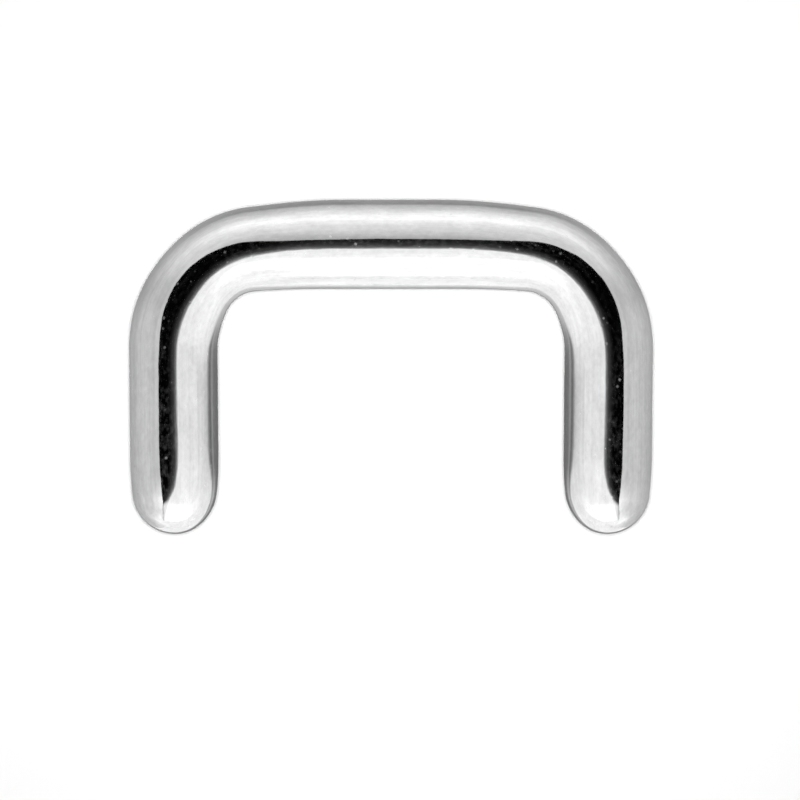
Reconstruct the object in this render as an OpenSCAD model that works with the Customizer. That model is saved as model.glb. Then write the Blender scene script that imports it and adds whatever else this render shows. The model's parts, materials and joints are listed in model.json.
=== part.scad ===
// Septum retainer: one round steel bar, bent like a staple, with two rounded tips.
// Millimetres, +Z up. It lies on its side, so the bar's centreline is level.
// The origin is the middle of its footprint, on the surface that it lies on.
// The crossbar is towards +Y and the tips point towards -Y.

/* [Bar] */
// Diameter of the round bar, which is 14 gauge
bar_d = 1.6; // [1.2:0.1:2]
// Overall width, from the outside of one leg to the outside of the other
overall_w = 9.4; // [9:0.1:12]
// Overall height, from the top of the crossbar to the ends of the tips
overall_h = 6; // [5.6:0.1:8]

/* [Bends] */
// Radius of the crossbar's slight crown, at the centreline
crown_r = 15.5; // [12:0.5:16]
// Angle that the crown turns through on each side
crown_turn = 6.1; // [4:0.1:6.5]
// Radius of the corner's tight part, next to the crossbar, at the centreline
tight_r = 1.42; // [1.3:0.02:1.5]
// Angle that the tight part turns through
tight_turn = 43.7; // [40:0.1:48]
// Radius of the corner's easy part, next to the leg, at the centreline
easy_r = 2; // [1.8:0.1:2.2]
// Angle that each leg leans in towards the other
toe_in = 0.55; // [0:0.05:2]

/* [Tips] */
// Radius of the round nose as a share of the bar's radius
nose_share = 0.957; // [0.9:0.001:0.99]
// Radius of the long arc that eases the leg into the nose
taper_r = 7.6; // [5:0.1:10]

/* [Hidden] */
$fn = 128;

bar_r = bar_d / 2;
steel = [0.78, 0.78, 0.79];

// Columns of the table of bends
RADIUS = 0;
TURN = 1;
// The arcs of one corner, from the crossbar to the leg
bends = [
    [crown_r, crown_turn],
    [tight_r, tight_turn],
    [easy_r, 90 + toe_in - crown_turn - tight_turn],
];
last = len(bends) - 1;

// Heading of the centreline before bend i: 0 along the crossbar, 90 straight down
function heading(i) = i == 0 ? 0 : heading(i - 1) + bends[i - 1][TURN];

// Direction from a bend's centre out to the centreline at a heading
function outward(a) = [sin(a), cos(a)];

// Centre of bend i, measured from the end of the crossbar's straight middle
function bend_centre(i) =
    i == 0
        ? [0, -bends[0][RADIUS]]
        : bend_centre(i - 1) + (bends[i - 1][RADIUS] - bends[i][RADIUS]) * outward(heading(i));

// Where the leg starts, and how far out the last bend reaches, measured from the same place
leg_start = bend_centre(last) + bends[last][RADIUS] * outward(heading(last + 1));
bend_reach = bend_centre(last)[0] + bends[last][RADIUS];

// Half of the crossbar's straight middle, and the height of its centreline
flat_half = overall_w / 2 - bar_r - bend_reach;
crossbar_y = overall_h / 2 - bar_r;

// The tip is a long arc from the leg's wall, then a round nose that touches it
nose_r = nose_share * bar_r;
nose_centre = sqrt((taper_r - nose_r) ^ 2 - (taper_r - bar_r) ^ 2);
taper_len = nose_centre * taper_r / (taper_r - nose_r);

// Straight part of the leg, between the last bend and the tip
leg_fall = overall_h - bar_r + leg_start[1] - nose_r;
leg_len = leg_fall / cos(toe_in) - nose_centre;

// A written number keeps six digits, so this moves in a coarse step and then a fine one.
// That way the ends of the pieces meet exactly, and the bar is one solid.
COARSE_STEP = 0.001;
module move(v) {
    coarse = [for (x = v) round(x / COARSE_STEP) * COARSE_STEP];
    translate(coarse) translate(v - coarse) children();
}

// Half section of the tip, from the end of the leg's straight part
module tip_section() {
    intersection() {
        translate([bar_r - taper_r, 0]) circle(r = taper_r);
        square([bar_r, taper_len]);
    }
    intersection() {
        move([0, nose_centre]) circle(r = nose_r);
        translate([0, taper_len]) square([nose_r, nose_centre + nose_r - taper_len]);
    }
}

// One leg with its tip, standing on its upper end and pointing up
module leg() {
    rotate_extrude() {
        square([bar_r, leg_len]);
        translate([0, leg_len]) tip_section();
    }
}

// One arc of the bar, lying level about its own centre
module bend(i) {
    rotate_extrude(start = 90 - heading(i + 1), angle = bends[i][TURN])
        translate([bends[i][RADIUS], 0]) circle(r = bar_r);
}

// The bends and the leg of the +X side, from the end of the crossbar's straight middle
module corner_and_leg() {
    for (i = [0 : last])
        move(bend_centre(i)) bend(i);
    move(leg_start) rotate([90, 0, -toe_in]) leg();
}

// The whole bar is one piece, resting on the surface
module retainer_bar() {
    color(steel)
        translate([0, crossbar_y, bar_r])
            for (side = [0, 1])
                mirror([side, 0, 0]) {
                    rotate([0, 90, 0]) cylinder(r = bar_r, h = flat_half);
                    translate([flat_half, 0, 0]) corner_and_leg();
                }
}

retainer_bar();
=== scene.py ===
"""The looks of the septum retainer: a polished steel bar that lies on its side on a pale floor."""

import json
import math

import bmesh
import bpy
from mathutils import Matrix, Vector


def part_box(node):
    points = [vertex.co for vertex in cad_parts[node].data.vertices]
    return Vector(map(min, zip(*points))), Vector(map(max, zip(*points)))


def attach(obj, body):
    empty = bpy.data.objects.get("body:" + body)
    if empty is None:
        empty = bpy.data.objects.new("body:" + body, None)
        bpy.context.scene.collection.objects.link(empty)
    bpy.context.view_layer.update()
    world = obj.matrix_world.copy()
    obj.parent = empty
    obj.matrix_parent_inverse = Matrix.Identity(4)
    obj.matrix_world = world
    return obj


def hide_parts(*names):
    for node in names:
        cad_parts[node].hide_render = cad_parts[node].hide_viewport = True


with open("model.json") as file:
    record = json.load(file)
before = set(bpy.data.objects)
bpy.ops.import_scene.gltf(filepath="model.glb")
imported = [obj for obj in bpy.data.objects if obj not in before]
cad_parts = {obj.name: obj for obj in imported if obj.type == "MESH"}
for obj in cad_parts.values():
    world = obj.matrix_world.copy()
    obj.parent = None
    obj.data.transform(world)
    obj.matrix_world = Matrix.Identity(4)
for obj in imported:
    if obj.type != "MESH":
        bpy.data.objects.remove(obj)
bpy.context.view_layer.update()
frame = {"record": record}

# Sizes of the bar, in metres and degrees, named as in the part's source
MM = 0.001
CROWN_R = 15.5 * MM
CROWN_TURN = 6.1
TIGHT_R = 1.42 * MM
TIGHT_TURN = 43.7
EASY_R = 2.0 * MM
TOE_IN = 0.55
NOSE_SHARE = 0.957
TAPER_R = 7.6 * MM

# Sizes that the frame gives
LEG = next(m for m in frame["record"]["mounts"] if m["name"] == "leg_right")
BAR_R = LEG["dims"]["r_mm"] * MM
LEG_LEN = LEG["dims"]["length_mm"] * MM
LOW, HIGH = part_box("retainer_bar")
CROSSBAR_Y = HIGH.y - BAR_R
CENTRE_Z = LOW.z + BAR_R

# The tip narrows over a long arc, which ends in a round nose
NOSE_R = NOSE_SHARE * BAR_R
NOSE_CENTRE = math.sqrt((TAPER_R - NOSE_R) ** 2 - (TAPER_R - BAR_R) ** 2)
TAPER_LEN = NOSE_CENTRE * TAPER_R / (TAPER_R - NOSE_R)

# Distances along the bar are from the middle of the crossbar. Bending draws the bar in a little,
# most of all in the corners: the pinch grows over one stretch and goes over the next.
PINCH = 0.071
PINCH_GROWS = (0.8 * MM, 3.3 * MM)
PINCH_GOES = (3.3 * MM, 4.55 * MM)
# The inner side of the legs is a little flatter than the outer side, and that of the tips more so
LEG_FLAT = 0.018
LEG_FLAT_GROWS = (3.3 * MM, 3.8 * MM)
TIP_FLAT = 0.045
TIP_FLAT_GROWS = (7.4 * MM, 8.2 * MM)

# Fineness of the bar's mesh
SIDES = 96
STATION = 0.06 * MM
NOSE_STATIONS = 24
MERGE = 0.0001 * MM

# The bar's centreline

BENDS = [
    (CROWN_R, math.radians(CROWN_TURN)),
    (TIGHT_R, math.radians(TIGHT_TURN)),
    (EASY_R, math.radians(90 + TOE_IN - CROWN_TURN - TIGHT_TURN)),
]


def along(heading):
    """Direction of travel at a heading: 0 goes along the crossbar, a quarter turn down the leg."""
    return Vector((math.cos(heading), -math.sin(heading)))


def outward(heading):
    """Direction that points out of the U at a heading."""
    return Vector((math.sin(heading), math.cos(heading)))


def corner_reach():
    """How far the bends carry the centreline out from the end of the crossbar's straight middle."""
    centre = Vector((0, 0))
    heading = 0.0
    radius = 0.0
    for next_radius, turn in BENDS:
        centre += (radius - next_radius) * outward(heading)
        radius = next_radius
        heading += turn
    return centre.x + radius


FLAT_HALF = HIGH.x - BAR_R - corner_reach()
WALL_END = FLAT_HALF + sum(radius * turn for radius, turn in BENDS) + LEG_LEN
NOSE_AT = WALL_END + NOSE_CENTRE


def centreline(distance):
    """Place and heading of the +X half's centreline at a distance along the bar."""
    place = Vector((min(distance, FLAT_HALF), CROSSBAR_Y))
    heading = 0.0
    left = distance - FLAT_HALF
    for radius, turn in BENDS:
        if left <= 0:
            return place, heading
        part = min(left / radius, turn)
        centre = place - radius * outward(heading)
        heading += part
        place = centre + radius * outward(heading)
        left -= part * radius
    return place + max(left, 0) * along(heading), heading


def bend(bm):
    """Bends a straight form that lies along X into the staple: Y points out of the U and Z up."""
    for v in bm.verts:
        side = math.copysign(1, v.co.x)
        place, heading = centreline(abs(v.co.x))
        place += v.co.y * outward(heading)
        v.co = Vector((side * place.x, place.y, CENTRE_Z + v.co.z))


def passed(distance, stretch):
    """Share of a stretch that a distance has passed, from 0 to 1 with soft ends."""
    start, end = stretch
    share = min(max((distance - start) / (end - start), 0), 1)
    return share * share * (3 - 2 * share)


# The bar


def stations(start, end, step):
    """Even distances from start to end, both included, no more than a step apart."""
    count = max(1, math.ceil((end - start) / step))
    return [start + (end - start) * i / count for i in range(count + 1)]


def rod_profile():
    """Distance along the bar and radius there, from its middle to the end of its tip."""
    profile = [(s, BAR_R) for s in stations(0, WALL_END, STATION)]
    for d in stations(0, TAPER_LEN, STATION)[1:]:
        profile.append((WALL_END + d, math.sqrt(TAPER_R**2 - d**2) - (TAPER_R - BAR_R)))
    start = math.asin((TAPER_LEN - NOSE_CENTRE) / NOSE_R)
    for a in stations(start, math.pi / 2, (math.pi / 2 - start) / NOSE_STATIONS)[1:-1]:
        profile.append((NOSE_AT + NOSE_R * math.sin(a), NOSE_R * math.cos(a)))
    profile.append((NOSE_AT + NOSE_R, 0))
    return profile


def remember_straight(bm):
    """Keeps each point's place on the straight bar, in millimetres, for the steel to read."""
    straight = bm.verts.layers.float_vector.new("straight")
    for v in bm.verts:
        v[straight] = v.co / MM


def draw_in(bm):
    """Thins the straight bar where its corners come, and flattens its inner side past them."""
    for v in bm.verts:
        distance = abs(v.co.x)
        pinch = PINCH * passed(distance, PINCH_GROWS) * (1 - passed(distance, PINCH_GOES))
        leg_flat = LEG_FLAT * passed(distance, LEG_FLAT_GROWS)
        tip_flat = TIP_FLAT * passed(distance, TIP_FLAT_GROWS)
        v.co.y *= 1 - pinch
        if v.co.y < 0:
            v.co.y *= 1 - leg_flat - tip_flat


def make_piece(bm, name, material):
    """Turns a finished form into a smooth object at the origin."""
    mesh = bpy.data.meshes.new(name)
    bm.to_mesh(mesh)
    bm.free()
    mesh.materials.append(material)
    mesh.shade_smooth()
    piece = bpy.data.objects.new(name, mesh)
    bpy.context.scene.collection.objects.link(piece)
    return piece


def make_bar(material):
    """Turns a straight bar with round tips, then bends it, as the maker does."""
    bm = bmesh.new()
    outline = [bm.verts.new((s, r, 0)) for s, r in rod_profile()]
    edges = [bm.edges.new(pair) for pair in zip(outline, outline[1:])]
    bmesh.ops.spin(
        bm, geom=outline + edges, cent=(0, 0, 0), axis=(1, 0, 0),
        angle=2 * math.pi, steps=SIDES, use_merge=True,
    )
    bmesh.ops.remove_doubles(bm, verts=bm.verts, dist=MERGE)
    half = bm.verts[:] + bm.edges[:] + bm.faces[:]
    bmesh.ops.mirror(bm, geom=half, axis="X", merge_dist=MERGE)
    bmesh.ops.recalc_face_normals(bm, faces=bm.faces)
    remember_straight(bm)
    draw_in(bm)
    bend(bm)
    return make_piece(bm, "bar", material)


# Helpers for the materials


def new_tree(name):
    """A material without nodes, and its tree with an output."""
    material = bpy.data.materials.new(name)
    material.use_nodes = True
    tree = material.node_tree
    tree.nodes.clear()
    return material, tree, tree.nodes.new("ShaderNodeOutputMaterial")


def add(tree, kind, out=0, settings=None, **inputs):
    """Adds a node, sets its inputs and returns an output: a value is set, a socket is linked."""
    node = tree.nodes.new(kind)
    for name, value in (settings or {}).items():
        setattr(node, name, value)
    for name, value in inputs.items():
        numbered = name.startswith("in") and name[2:].isdigit()
        key = int(name[2:]) if numbered else name.replace("_", " ")
        if isinstance(value, bpy.types.NodeSocket):
            tree.links.new(value, node.inputs[key])
        else:
            node.inputs[key].default_value = value
    return node.outputs[out]


def reckon(tree, operation, *values):
    """Works out one number from others."""
    inputs = {f"in{i}": value for i, value in enumerate(values)}
    return add(tree, "ShaderNodeMath", settings={"operation": operation}, **inputs)


def reckon_tone(tree, operation, tone, value):
    """Works out a tone from a tone and a number."""
    return add(tree, "ShaderNodeVectorMath", settings={"operation": operation}, in0=tone, in1=value)


def remap(tree, value, stretch, before, after, steps="LINEAR"):
    """Goes from one number to another while the value goes over a stretch, and stays there."""
    return add(
        tree, "ShaderNodeMapRange", settings={"interpolation_type": steps},
        Value=value, From_Min=stretch[0], From_Max=stretch[1], To_Min=before, To_Max=after,
    )


def ease(tree, value, stretch, before=0.0, after=1.0):
    """The same with soft ends."""
    return remap(tree, value, stretch, before, after, "SMOOTHSTEP")


def grey(tone):
    """A tone as a colour."""
    return (tone, tone, tone, 1)


def mix(tree, share, first, second):
    """The first colour where the share is 0, and the second where it is 1."""
    return add(tree, "ShaderNodeMix", 2, {"data_type": "RGBA"}, in0=share, in6=first, in7=second)


def ramp(tree, value, stops, reach=1.0):
    """A grey ramp through (value, tone) stops, for values from 0 to reach."""
    if reach != 1.0:
        value = reckon(tree, "DIVIDE", value, reach)
    node = tree.nodes.new("ShaderNodeValToRGB")
    tree.links.new(value, node.inputs[0])
    elements = node.color_ramp.elements
    while len(elements) < len(stops):
        elements.new(1)
    for element, (place, tone) in zip(elements, sorted(stops)):
        element.position = place / reach
        element.color = grey(tone)
    return node.outputs[0]


# Steel

# Its marks: how often each changes in a millimetre along the bar and across it, and its detail
WAVES = (0.9, 1.6, 1.0)
STREAKS = (0.7, 9.0, 3.0)
MOTTLE = (2.6, 5.0, 3.0)
GRAIN = (9.0, 15.0, 3.0)
LINES = (0.3, 26.0, 2.0)
CLOUDS = (1.3, 2.5, 1.0)
# How deep they are, in metres
WAVE_DEPTH = 4.5e-6
STREAK_DEPTH = 1.0e-6
MOTTLE_DEPTH = 1.1e-6
PIT_DEPTH = 0.8e-6
# Pits: how many there are in a millimetre, and the radii between which a pit's side slopes, as
# shares of the room for one
PITS_PER_MM = 6.5
PIT_SLOPE = (0.05, 0.24)
# Each pit has a lot: up to the first of these there is no pit, and at the last it is deepest
PIT_LOTS = (0.3, 1.0)
# They are faint where the mottle is low, and all are duller than the steel round them
PIT_MOTTLE = (0.45, 0.6)
PIT_FAINT = 0.4
PIT_DULL = 0.34
# The marks have these shares in the shade, over which the steel turns from dark to light
MOTTLE_SHARE = 0.26
STREAK_SHARE = 0.26
GRAIN_SHARE = 0.3
LINE_SHARE = 0.18
SHADE_TURNS = (0.38, 0.62)
DARK_STEEL = (0.69, 0.69, 0.695, 1)
LIGHT_STEEL = (0.86, 0.86, 0.863, 1)
# Roughness, and the sum of grain and mottle over which it rises
ROUGHNESS = (0.05, 0.09)
ROUGHNESS_TURNS = (0.7, 1.3)
# Fine haze, which comes with the grain and is thinner or thicker in clouds
HAZE = 0.09
HAZE_TURNS = (0.45, 0.75)
CLOUD_TURNS = (0.4, 0.62)
CLOUD_SHARES = (0.5, 1.5)
# How much of it the bar has: (millimetres along, share)
WORN = [
    (0.0, 0.35), (1.9, 0.3), (2.6, 0.2), (3.6, 0.05),
    (4.6, 0.05), (5.3, 0.2), (7.0, 0.3), (7.7, 1.0),
]
WORN_REACH = 9.0


def steel_material():
    """Mirror-polished surgical steel: draw streaks, slight waves, a fine haze and a few tiny pits."""
    material, tree, output = new_tree("polished_steel")
    place = add(tree, "ShaderNodeAttribute", 1, {"attribute_name": "straight"})

    def marks(along_bar, across_bar, detail):
        scale = (along_bar, across_bar, across_bar)
        spot = add(tree, "ShaderNodeMapping", Vector=place, Scale=scale)
        return add(tree, "ShaderNodeTexNoise", Vector=spot, Scale=1.0, Detail=detail)

    waves = marks(*WAVES)
    streaks = marks(*STREAKS)
    mottle = marks(*MOTTLE)
    grain = marks(*GRAIN)
    lines = marks(*LINES)
    clouds = marks(*CLOUDS)

    cells = tree.nodes.new("ShaderNodeTexVoronoi")
    tree.links.new(place, cells.inputs["Vector"])
    cells.inputs["Scale"].default_value = PITS_PER_MM
    pit = ease(tree, cells.outputs["Distance"], PIT_SLOPE, 1.0, 0.0)
    lots = add(tree, "ShaderNodeSeparateColor", Color=cells.outputs["Color"])
    depth = remap(tree, lots, PIT_LOTS, 0.0, 1.0)
    depth = reckon(tree, "MULTIPLY", depth, remap(tree, mottle, PIT_MOTTLE, PIT_FAINT, 1.0))
    pits = reckon(tree, "MULTIPLY", pit, depth)

    normal = add(tree, "ShaderNodeBump", Strength=1.0, Distance=WAVE_DEPTH, Height=waves)
    for height, metres, sunk in (
        (streaks, STREAK_DEPTH, False), (mottle, MOTTLE_DEPTH, False), (pits, PIT_DEPTH, True),
    ):
        normal = add(
            tree, "ShaderNodeBump", settings={"invert": sunk},
            Strength=1.0, Distance=metres, Height=height, Normal=normal,
        )

    shade = reckon(tree, "MULTIPLY", mottle, MOTTLE_SHARE)
    for part, share in ((streaks, STREAK_SHARE), (grain, GRAIN_SHARE), (lines, LINE_SHARE)):
        shade = reckon(tree, "MULTIPLY_ADD", part, share, shade)
    colour = mix(tree, remap(tree, shade, SHADE_TURNS, 0.0, 1.0), DARK_STEEL, LIGHT_STEEL)
    roughness = remap(tree, reckon(tree, "ADD", grain, mottle), ROUGHNESS_TURNS, *ROUGHNESS)

    from_middle = reckon(tree, "ABSOLUTE", add(tree, "ShaderNodeSeparateXYZ", Vector=place))
    worn = ramp(tree, from_middle, WORN, WORN_REACH)
    worn = reckon(tree, "MULTIPLY", worn, remap(tree, clouds, CLOUD_TURNS, *CLOUD_SHARES))
    haze = reckon(tree, "MULTIPLY", remap(tree, grain, HAZE_TURNS, 0.0, HAZE), worn)
    dull = reckon(tree, "MULTIPLY_ADD", pits, PIT_DULL, haze)
    shader = add(
        tree, "ShaderNodeBsdfPrincipled", Base_Color=colour, Roughness=roughness, Normal=normal,
        Metallic=reckon(tree, "SUBTRACT", 1.0, dull),
    )
    tree.links.new(shader, output.inputs[0])
    return material


# Cards

# Polished steel shows what stands round it, and these cards are what it shows. They glow,
# though no lamp is in them, and all but the apron carry a painted reflection: the hood a painted
# highlight, the flag a painted dark band, and the collar and the foot painted shade. All but the
# apron keep a chart of themselves, which their materials read. The hood ends just above the
# floor, and the foot and the apron lie on it.
HOOD_ABOVE = 0.02 * MM
FOOT_ABOVE = HOOD_ABOVE / 2
APRON_ABOVE = HOOD_ABOVE / 4
STUDIO_WHITE = 1.13


def unit_grid(steps, across):
    """A flat grid of one unit by one, round the origin."""
    bm = bmesh.new()
    bmesh.ops.create_grid(bm, x_segments=steps, y_segments=across, size=0.5)
    return bm


def make_card(bm, name, material):
    """A card that the polished steel mirrors, and nothing else sees."""
    card = make_piece(bm, name, material)
    card.visible_camera = False
    card.visible_diffuse = False
    card.visible_transmission = False
    card.visible_volume_scatter = False
    card.visible_shadow = False


def chart(tree):
    """The three numbers of a card's chart."""
    place = add(tree, "ShaderNodeAttribute", 1, {"attribute_name": "chart"})
    separate = tree.nodes.new("ShaderNodeSeparateXYZ")
    tree.links.new(place, separate.inputs[0])
    return separate.outputs


def glow(tree, output, tone, see_through=None):
    """Finishes a card's tree: it shines with a tone, and is clear where see_through is 1."""
    shine = add(tree, "ShaderNodeEmission", Color=tone, Strength=1.0)
    if see_through is not None:
        clear = add(tree, "ShaderNodeBsdfTransparent")
        shine = add(tree, "ShaderNodeMixShader", in0=see_through, in1=shine, in2=clear)
    tree.links.new(shine, output.inputs[0])


def between(table, x):
    """Reads a short table of (place, value) rows, on a smooth curve through them."""
    if x <= table[0][0]:
        return table[0][1]
    if x >= table[-1][0]:
        return table[-1][1]
    i = max(k for k, row in enumerate(table) if row[0] <= x)
    (x0, y0), (x1, y1) = table[i], table[i + 1]
    before, after = table[max(i - 1, 0)], table[min(i + 2, len(table) - 1)]
    slope0 = (y1 - before[1]) / (x1 - before[0])
    slope1 = (after[1] - y0) / (after[0] - x0)
    step = x1 - x0
    u = (x - x0) / step
    bend0, bend1 = slope0 * step - (y1 - y0), (y1 - y0) - slope1 * step
    return y0 + u * (y1 - y0) + u * (1 - u) * ((1 - u) * bend0 + u * bend1)


# Hood and flag

# The hood is curved round the outer side of the bar. The flag is a black strip in front of its
# inner edge. Both follow the bar, and glow with painted reflections: a painted highlight on the
# hood, and a painted dark band on the flag.
HOOD_R = 3.2 * MM
FLAG_R = 3.1 * MM
HOOD_LEN = 20 * MM
FLAG_LEN = 15.5 * MM
SWEPT_STEPS = 480
SWEPT_ACROSS = 40
# Angles round the bar are in degrees from straight above
LEVEL = 90
HALF_TURN = 180
# Where the flag's edges show on the bar: (millimetres along, share of the bar's radius)
FLAG_OUTER = [
    (0.0, 0.115), (1.2, 0.115), (1.7, 0.122), (2.15, 0.145), (2.6, 0.195), (3.05, 0.25),
    (3.4, 0.312), (3.8, 0.36), (4.2, 0.352), (4.5, 0.34), (4.85, 0.318), (5.2, 0.34),
    (6.3, 0.345), (7.3, 0.335), (7.82, 0.315), (8.15, 0.305), (8.6, 0.302), (9.2, 0.32),
    (11.0, 0.43), (13.2, 0.59), (15.5, 0.8),
]
FLAG_INNER = [
    (0.0, -0.105), (1.2, -0.105), (1.7, -0.111), (2.15, -0.139), (2.6, -0.188), (3.05, -0.227),
    (3.4, -0.232), (3.8, -0.21), (4.2, -0.17), (4.8, -0.11), (5.3, -0.08), (6.3, -0.08),
    (6.9, -0.092), (7.3, -0.08), (7.82, -0.015), (8.15, 0.08), (8.6, 0.13), (9.2, 0.18),
    (11.0, 0.29), (13.2, 0.45), (15.5, 0.67),
]
# And the hood's outer edge, as such a share
HOOD_OUTER = 0.97
# Tones of the hood's painted reflection over the crossbar, the legs and the tips: (share of the
# bar's radius, tone)
OVER_CROSSBAR = [
    (0.12, 0.5), (0.17, 0.6), (0.27, 0.77), (0.38, 0.88), (0.48, 1.07), (0.56, 1.3), (0.62, 1.27),
    (0.72, 1.0), (0.8, 0.75), (0.855, 0.6), (0.88, 0.32), (0.95, 0.4), (0.97, 0.5),
]
OVER_LEGS = [
    (0.12, 0.74), (0.4, 0.72), (0.45, 0.65), (0.6, 0.7), (0.8, 0.65), (0.88, 0.53), (0.93, 0.43),
]
OVER_TIPS = [
    (0.3, 1.27), (0.45, 1.08), (0.5, 0.95), (0.58, 0.81), (0.7, 0.76), (0.8, 0.7), (0.93, 0.53),
]
# Where its tones turn to the next, in millimetres along, and a light shade across the corner
LEG_TURNS = (2.15, 4.3)
TIP_TURNS = (7.4, 8.6)
CORNER_AT = 4.1
CORNER_HALF = 0.55
CORNER_SHADE = 0.88
# Beyond the tips it turns to an even tone, and the further below level the sooner
END_TURNS = (9.5, 13.5)
END_SLANT = 8.0 / HALF_TURN
END_TONE = 1.2
# Painted reflection tones across the flag, and across its tail beyond the tips: (degrees from its
# inner edge, tone)
ACROSS_FLAG = [(0.0, 0.75), (3.5, 0.2), (8.0, 0.055), (12.5, 0.03), (17.0, 0.008), (22.0, 0.001)]
ACROSS_TAIL = [(0.0, 1.15), (8.0, 1.0), (12.0, 0.62), (20.0, 0.55)]
# It gets darker towards its point at the tips, and turns to its tail on a slant
POINT_TURNS = (8.3, 9.1)
POINT_SHARE = 0.3
TAIL_TURNS = (9.0, 10.2)
TAIL_SLANT = 11.0 / HALF_TURN
SLANT_WIDE = 15.3
# Over the crossbar its edge is crisper, and it isn't quite black
CRISP_ENDS = (1.2, 2.6)
CRISP_SHARE = 0.7
CROSSBAR_LIFT = 0.01


def lands(share):
    """Angle from above of the place on the hood that the bar shows at a share of its radius."""
    return 2 * math.asin(share) - math.asin(BAR_R / HOOD_R * share)


def flag_edges(mm):
    """Shares of the bar's radius where the flag's inner and outer edges show."""
    return between(FLAG_INNER, mm), between(FLAG_OUTER, mm)


def hood_edges(mm):
    """The same for the hood, which starts behind the middle of the flag."""
    return sum(flag_edges(mm)) / 2, HOOD_OUTER


def swept_card(name, material, edges, radius, reach):
    """A card that is curved round the bar and follows it, and ends just above the floor.

    Its chart: millimetres along the bar, degrees from above, degrees from the inner edge.
    """
    bm = unit_grid(SWEPT_STEPS, SWEPT_ACROSS)
    notes = bm.verts.layers.float_vector.new("chart")
    bottom = HOOD_ABOVE - CENTRE_Z
    for v in bm.verts:
        s = 2 * reach * v.co.x
        mm = abs(s) / MM
        near, far = (lands(share) for share in edges(mm))
        angle = near + (far - near) * (v.co.y + 0.5)
        rise = math.cos(angle)
        r = bottom / rise if rise * radius < bottom else radius
        v.co = Vector((s, r * math.sin(angle), r * rise))
        v[notes] = (mm, math.degrees(angle), math.degrees(angle - near))
    bend(bm)
    make_card(bm, name, material)


def hood_material():
    """A soft hood, brightest in a painted highlight along the crossbar, even along the legs."""
    material, tree, output = new_tree("hood")
    mm, degrees, _ = chart(tree)
    crossbar, legs, tips = (
        ramp(tree, degrees, [(math.degrees(lands(share)), tone) for share, tone in stops], HALF_TURN)
        for stops in (OVER_CROSSBAR, OVER_LEGS, OVER_TIPS)
    )
    tone = mix(tree, ease(tree, mm, LEG_TURNS), crossbar, legs)
    tone = mix(tree, ease(tree, mm, TIP_TURNS), tone, tips)
    off = reckon(tree, "ABSOLUTE", reckon(tree, "SUBTRACT", mm, CORNER_AT))
    shade = ease(tree, off, (0.0, CORNER_HALF), CORNER_SHADE)
    tone = reckon_tone(tree, "MULTIPLY", tone, shade)
    under = reckon(tree, "MAXIMUM", reckon(tree, "SUBTRACT", degrees, LEVEL), 0.0)
    beyond = reckon(tree, "MULTIPLY_ADD", under, END_SLANT, mm)
    glow(tree, output, mix(tree, ease(tree, beyond, END_TURNS), tone, grey(END_TONE)))
    return material


def flag_material():
    """A painted dark reflection: a black strip, which gets a little lighter towards its inner edge.
    """
    material, tree, output = new_tree("flag")
    mm, _, from_edge = chart(tree)
    tone = ramp(tree, from_edge, ACROSS_FLAG, HALF_TURN)
    tone = reckon_tone(tree, "MULTIPLY", tone, ease(tree, mm, POINT_TURNS, 1.0, POINT_SHARE))
    inner_part = reckon(tree, "MAXIMUM", reckon(tree, "SUBTRACT", SLANT_WIDE, from_edge), 0.0)
    slant = reckon(tree, "MULTIPLY_ADD", inner_part, TAIL_SLANT, mm)
    tail = ramp(tree, from_edge, ACROSS_TAIL, HALF_TURN)
    tone = mix(tree, ease(tree, slant, TAIL_TURNS), tone, tail)
    tone = reckon_tone(tree, "MULTIPLY", tone, ease(tree, mm, CRISP_ENDS, CRISP_SHARE, 1.0))
    tone = reckon_tone(tree, "ADD", tone, ease(tree, mm, CRISP_ENDS, CROSSBAR_LIFT, 0.0))
    glow(tree, output, tone)
    return material


# Collar

# The collar is a low card that stands beside each leg, on its inner side, and goes round the tip.
# It glows with a painted reflection: painted shade at its dark foot, and light above.
COLLAR_OUT = 1.14 * MM
COLLAR_HIGH = 1.8 * MM
COLLAR_FROM = 1.2 * MM
COLLAR_TURN = math.radians(185)
COLLAR_TO = NOSE_AT + COLLAR_OUT * COLLAR_TURN
COLLAR_STEPS = 320
COLLAR_ACROSS = 40
COLLAR_REACH = 12.0
# It is full height along the leg, and round the tip only as high as its dark foot
CROP_TURNS = (8.7 * MM, 9.6 * MM)
# Height of the dark foot's painted shade at its highest, in millimetres, and its share of that:
# (millimetres along, share)
PAINTED_SHADE_HIGH = 1.25
PAINTED_SHADE_FOOT = [
    (1.2, 0.4), (2.1, 0.56), (2.9, 0.62), (3.4, 0.64), (3.77, 0.68), (4.13, 0.75), (4.49, 0.82),
    (4.85, 0.91), (5.3, 1.0), (6.6, 1.0), (7.0, 0.95), (7.3, 0.83), (7.55, 0.72), (8.0, 0.64),
    (8.3, 0.55), (8.7, 0.47), (9.4, 0.43), (10.3, 0.33), (11.3, 0.2),
]
# Tones of the painted shade on the dark foot beside the leg, where it has a lighter line, and round
# the tip: (share of its height, tone)
LEG_FOOT = [
    (0.0, 0.16), (0.45, 0.19), (0.6, 0.2), (0.68, 0.26), (0.735, 0.35),
    (0.78, 0.26), (0.83, 0.16), (0.87, 0.19), (0.925, 0.33), (1.0, 0.62),
]
TIP_FOOT = [(0.4, 0.2), (0.58, 0.45), (0.75, 0.57), (0.86, 0.4), (1.0, 0.65)]
TIP_FOOT_TURNS = (7.0, 7.8)
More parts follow.
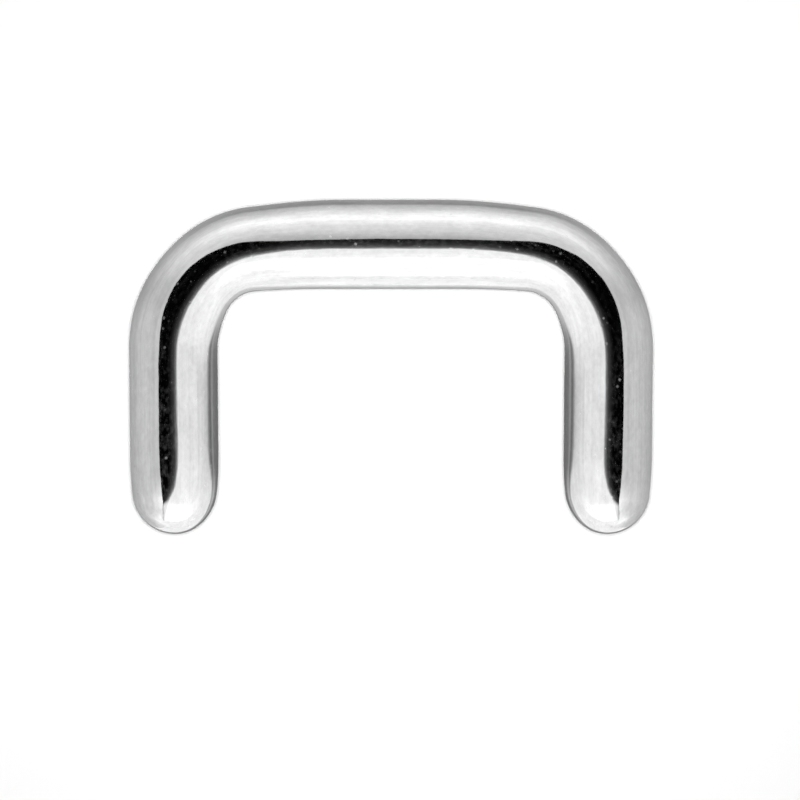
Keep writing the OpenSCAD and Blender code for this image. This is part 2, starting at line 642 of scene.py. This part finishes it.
# Tones of the light part, a painted reflection, low and high on the card: (millimetres along, tone)
LIGHT_LOW = [
    (2.6, 1.15), (3.4, 1.06), (4.13, 1.07), (4.49, 1.02), (4.85, 0.96), (5.2, 0.81),
    (5.74, 0.62), (6.3, 0.64), (6.8, 0.72), (7.45, 0.9), (7.9, 1.02), (9.5, 1.13),
]
LIGHT_HIGH = [
    (3.0, 1.29), (4.5, 1.12), (5.2, 0.93), (5.7, 0.81),
    (6.3, 0.83), (7.0, 0.9), (7.5, 1.0), (8.2, 1.28),
]
# Low turns to high between two heights, in millimetres. The lower one rises along the corner.
HIGH_FROM = (1.0, 1.2)
HIGH_FROM_TURNS = (3.2, 5.0)
HIGH_TO = 1.6
# The dark foot is faint in the corner and full along the leg
FAINT = 0.5
FAINT_ENDS = (3.1, 5.6)
# Its upper edge lies between two shares of its height, each given in the corner and along the
# leg, where the edge is crisp. It gets soft again round the tip.
EDGE_TURNS = (4.1, 5.3)
EDGE_LOW = (0.7, 0.93)
EDGE_HIGH = (1.15, 1.05)
TIP_SOFT = 0.4
TIP_SOFT_TURNS = (8.0, 9.6)
# The card is clear at both its ends, and round the tip above the dark foot
COLLAR_STARTS = (1.4, 2.4)
COLLAR_ENDS = (10.2, 11.2)
BARE_TURNS = (8.0, 9.0)


def beside_bar(side, reach, out, tip_r, above):
    """Place beside the straight bar's inner side, which goes on round its tip."""
    turn = max(reach - NOSE_AT, 0) / tip_r
    s = min(reach, NOSE_AT) + out * math.sin(turn)
    return Vector((side * s, -out * math.cos(turn), above - CENTRE_Z))


def collar_material():
    """A low card with a painted reflection: painted shade at its dark foot, and light above."""
    material, tree, output = new_tree("collar")
    mm, foot_share, high = chart(tree)
    leg, tip = (ramp(tree, foot_share, stops) for stops in (LEG_FOOT, TIP_FOOT))
    dark = mix(tree, ease(tree, mm, TIP_FOOT_TURNS), leg, tip)
    light_low, light_high = (ramp(tree, mm, stops, COLLAR_REACH) for stops in (LIGHT_LOW, LIGHT_HIGH))
    high_from = remap(tree, mm, HIGH_FROM_TURNS, *HIGH_FROM)
    light = mix(tree, ease(tree, high, (high_from, HIGH_TO)), light_low, light_high)

    softer = ease(tree, mm, TIP_SOFT_TURNS, 0.0, TIP_SOFT)
    edge_low = reckon(tree, "SUBTRACT", ease(tree, mm, EDGE_TURNS, *EDGE_LOW), softer)
    edge_high = ease(tree, mm, EDGE_TURNS, *EDGE_HIGH)
    part = ease(tree, foot_share, (edge_low, edge_high), 1.0, 0.0)
    part = reckon(tree, "MULTIPLY", ease(tree, mm, FAINT_ENDS, FAINT, 1.0), part)

    bare = reckon(tree, "SUBTRACT", 1.0, part)
    bare = reckon(tree, "MULTIPLY", ease(tree, mm, BARE_TURNS), bare)
    before = ease(tree, mm, COLLAR_STARTS, 1.0, 0.0)
    beyond = ease(tree, mm, COLLAR_ENDS)
    clear = reckon(tree, "MAXIMUM", reckon(tree, "MAXIMUM", before, beyond), bare)
    glow(tree, output, mix(tree, part, light, dark), clear)
    return material


def collar_card(name, material, side):
    """The collar of one side.

    Its chart: millimetres along the bar, share of the dark foot's height, height in millimetres.
    """
    bm = unit_grid(COLLAR_STEPS, COLLAR_ACROSS)
    notes = bm.verts.layers.float_vector.new("chart")
    for v in bm.verts:
        reach = COLLAR_FROM + (COLLAR_TO - COLLAR_FROM) * (v.co.x + 0.5)
        dark = PAINTED_SHADE_HIGH * between(PAINTED_SHADE_FOOT, reach / MM)
        top = COLLAR_HIGH + (dark * MM - COLLAR_HIGH) * passed(reach, CROP_TURNS)
        z = top * (v.co.y + 0.5)
        v.co = beside_bar(side, reach, COLLAR_OUT, COLLAR_OUT, z)
        v[notes] = (reach / MM, z / MM / dark, z / MM)
    bend(bm)
    make_card(bm, name, material)


# Foot

# The foot is a strip on the floor, along the bar's inner side and round the tip to its outer side.
# It is wide along the crossbar and narrows before the corner. It carries a painted shadow of the
# bar, dark close to it.
FOOT_NEAR = 0.75 * MM
FOOT_FAR = 2.1 * MM
FOOT_FAR_LEG = 1.2 * MM
FOOT_NARROWS = (1.7 * MM, 2.9 * MM)
FOOT_STEPS = 400
FOOT_ACROSS = 2
FOOT_REACH = 10.0
# Tones of its painted shadow close to the bar: (millimetres along, tone)
FOOT_SHADOW_TONES = [(3.4, 0.4), (4.6, 0.2), (7.8, 0.2), (8.6, 0.33), (9.5, 0.4)]
# How it turns to white further out: (share of FOOT_FAR, share of white)
FOOT_FADE = [(0.52, 0.0), (0.63, 0.22), (0.78, 0.6), (0.9, 0.9), (1.0, 1.0)]


def foot_material():
    """Painted shadow that the steel mirrors: dark close to the bar, and white further out."""
    material, tree, output = new_tree("foot")
    mm, out, _ = chart(tree)
    dark = ramp(tree, mm, FOOT_SHADOW_TONES, FOOT_REACH)
    fade = ramp(tree, reckon(tree, "DIVIDE", out, FOOT_FAR / MM), FOOT_FADE)
    glow(tree, output, mix(tree, fade, dark, grey(STUDIO_WHITE)))
    return material


def foot_card(name, material, side):
    """The foot of one side.

    Its chart: millimetres along the bar, millimetres out from its centreline, nothing.
    """
    bm = unit_grid(FOOT_STEPS, FOOT_ACROSS)
    notes = bm.verts.layers.float_vector.new("chart")
    for v in bm.verts:
        reach = (NOSE_AT + BAR_R * math.pi) * (v.co.x + 0.5)
        far = FOOT_FAR + (FOOT_FAR_LEG - FOOT_FAR) * passed(reach, FOOT_NARROWS)
        out = FOOT_NEAR + (far - FOOT_NEAR) * (v.co.y + 0.5)
        v.co = beside_bar(side, reach, out, BAR_R, FOOT_ABOVE)
        v[notes] = (reach / MM, out / MM, 0)
    bend(bm)
    make_card(bm, name, material)


# Stage

FLOOR_HALF = 150 * MM
FLOOR_TONE = 0.9
# The apron is a white card on the floor, in front of the tips
APRON_WIDTH = 100 * MM
APRON_FROM = 6 * MM
APRON_LENGTH = 140 * MM
# Lights: the pool is a round of light on the floor
OVERHEAD_STRENGTH = 1.15
OVERHEAD_ANGLE = math.radians(9)
POOL_WATTS = 0.46
POOL_R = 19 * MM
POOL_HIGH = 150 * MM
POOL_BLEND = 0.75
SOFTBOX_WATTS = 0.4
SOFTBOX_SIZE = 500 * MM
SOFTBOX_HIGH = 200 * MM
# Tones of the studio, from its sides to its front: (how far forward a direction points, tone)
TOWARDS_FRONT = [
    (0.0, 0.96), (0.04, 1.05), (0.15, 1.09), (0.3, 1.12), (0.45, 1.16), (0.55, 1.22), (0.62, 1.42),
]
# The photograph's frame: the retainer's width and middle, in pixels of a square of 800
PHOTO_SIDE = 800
PHOTO_WIDTH = 523.8
PHOTO_MIDDLE = (391.0, 366.9)
CAMERA_DISTANCE = 300 * MM
SEEN_FROM = 1 * MM
SEEN_TO = 1000 * MM


def make_floor():
    """A plain pale floor."""
    material, tree, output = new_tree("pale_floor")
    shader = add(tree, "ShaderNodeBsdfDiffuse", Color=grey(FLOOR_TONE), Roughness=0.0)
    tree.links.new(shader, output.inputs[0])
    bm = bmesh.new()
    bmesh.ops.create_grid(bm, x_segments=1, y_segments=1, size=FLOOR_HALF)
    floor = make_piece(bm, "floor", material)


def make_apron():
    """A white card on the floor."""
    bm = unit_grid(1, 1)
    for v in bm.verts:
        y = -APRON_FROM - APRON_LENGTH * (v.co.y + 0.5)
        v.co = Vector((APRON_WIDTH * v.co.x, y, APRON_ABOVE))
    material, tree, output = new_tree("apron")
    glow(tree, output, grey(STUDIO_WHITE))
    make_card(bm, "apron", material)


def make_cards():
    """All that the steel mirrors, apart from the floor and the studio."""
    swept_card("flag", flag_material(), flag_edges, FLAG_R, FLAG_LEN)
    swept_card("hood", hood_material(), hood_edges, HOOD_R, HOOD_LEN)
    for make, name, material in (
        (collar_card, "collar", collar_material()), (foot_card, "foot", foot_material()),
    ):
        make(name + "_left", material, -1)
        make(name + "_right", material, 1)
    make_apron()


def add_light(name, kind, strength, high=0.0):
    """A light from straight above that the steel doesn't mirror, because the cards do its part."""
    data = bpy.data.lights.new(name, kind)
    data.energy = strength
    light = bpy.data.objects.new(name, data)
    bpy.context.scene.collection.objects.link(light)
    light.location = (0, 0, high)
    light.visible_camera = False
    light.visible_glossy = False
    return data


def make_lights():
    """Soft light from above: a wide sun, a pool of light round the retainer and a large softbox."""
    overhead = add_light("overhead", "SUN", OVERHEAD_STRENGTH)
    overhead.angle = OVERHEAD_ANGLE
    pool = add_light("pool", "SPOT", POOL_WATTS, POOL_HIGH)
    pool.spot_size = 2 * math.atan(POOL_R / POOL_HIGH)
    pool.spot_blend = POOL_BLEND
    pool.shadow_soft_size = POOL_HIGH * math.tan(OVERHEAD_ANGLE / 2)
    softbox = add_light("softbox", "AREA", SOFTBOX_WATTS, SOFTBOX_HIGH)
    softbox.shape = "DISK"
    softbox.size = SOFTBOX_SIZE


def make_world():
    """White studio, a little brighter in front of the tips than at the sides."""
    world = bpy.data.worlds.new("studio")
    bpy.context.scene.world = world
    world.use_nodes = True
    tree = world.node_tree
    tree.nodes.clear()
    direction = tree.nodes.new("ShaderNodeSeparateXYZ")
    tree.links.new(add(tree, "ShaderNodeTexCoord"), direction.inputs[0])
    forward = reckon(tree, "MULTIPLY", direction.outputs["Y"], -1.0)
    tone = ramp(tree, forward, TOWARDS_FRONT)
    background = add(tree, "ShaderNodeBackground", Color=tone, Strength=1.0)
    output = tree.nodes.new("ShaderNodeOutputWorld")
    tree.links.new(background, output.inputs[0])
    world.cycles.sampling_method = "NONE"
    world.cycles_visibility.diffuse = False


def make_camera():
    """Looks straight down on the retainer, so that it fills the frame as in the photograph."""
    pixel = (HIGH.x - LOW.x) / PHOTO_WIDTH
    data = bpy.data.cameras.new("camera")
    data.lens = data.sensor_width * CAMERA_DISTANCE / (PHOTO_SIDE * pixel)
    data.clip_start = SEEN_FROM
    data.clip_end = SEEN_TO
    camera = bpy.data.objects.new("camera", data)
    bpy.context.scene.collection.objects.link(camera)
    middle = (LOW + HIGH) / 2
    camera.location = (
        middle.x + (PHOTO_SIDE / 2 - PHOTO_MIDDLE[0]) * pixel,
        middle.y - (PHOTO_SIDE / 2 - PHOTO_MIDDLE[1]) * pixel,
        CENTRE_Z + CAMERA_DISTANCE,
    )
    bpy.context.scene.camera = camera


bpy.context.scene.view_settings.view_transform = "Standard"
bar = make_bar(steel_material())
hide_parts("retainer_bar")
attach(bar, "root")
make_floor()
make_cards()
make_lights()
make_world()
make_camera()
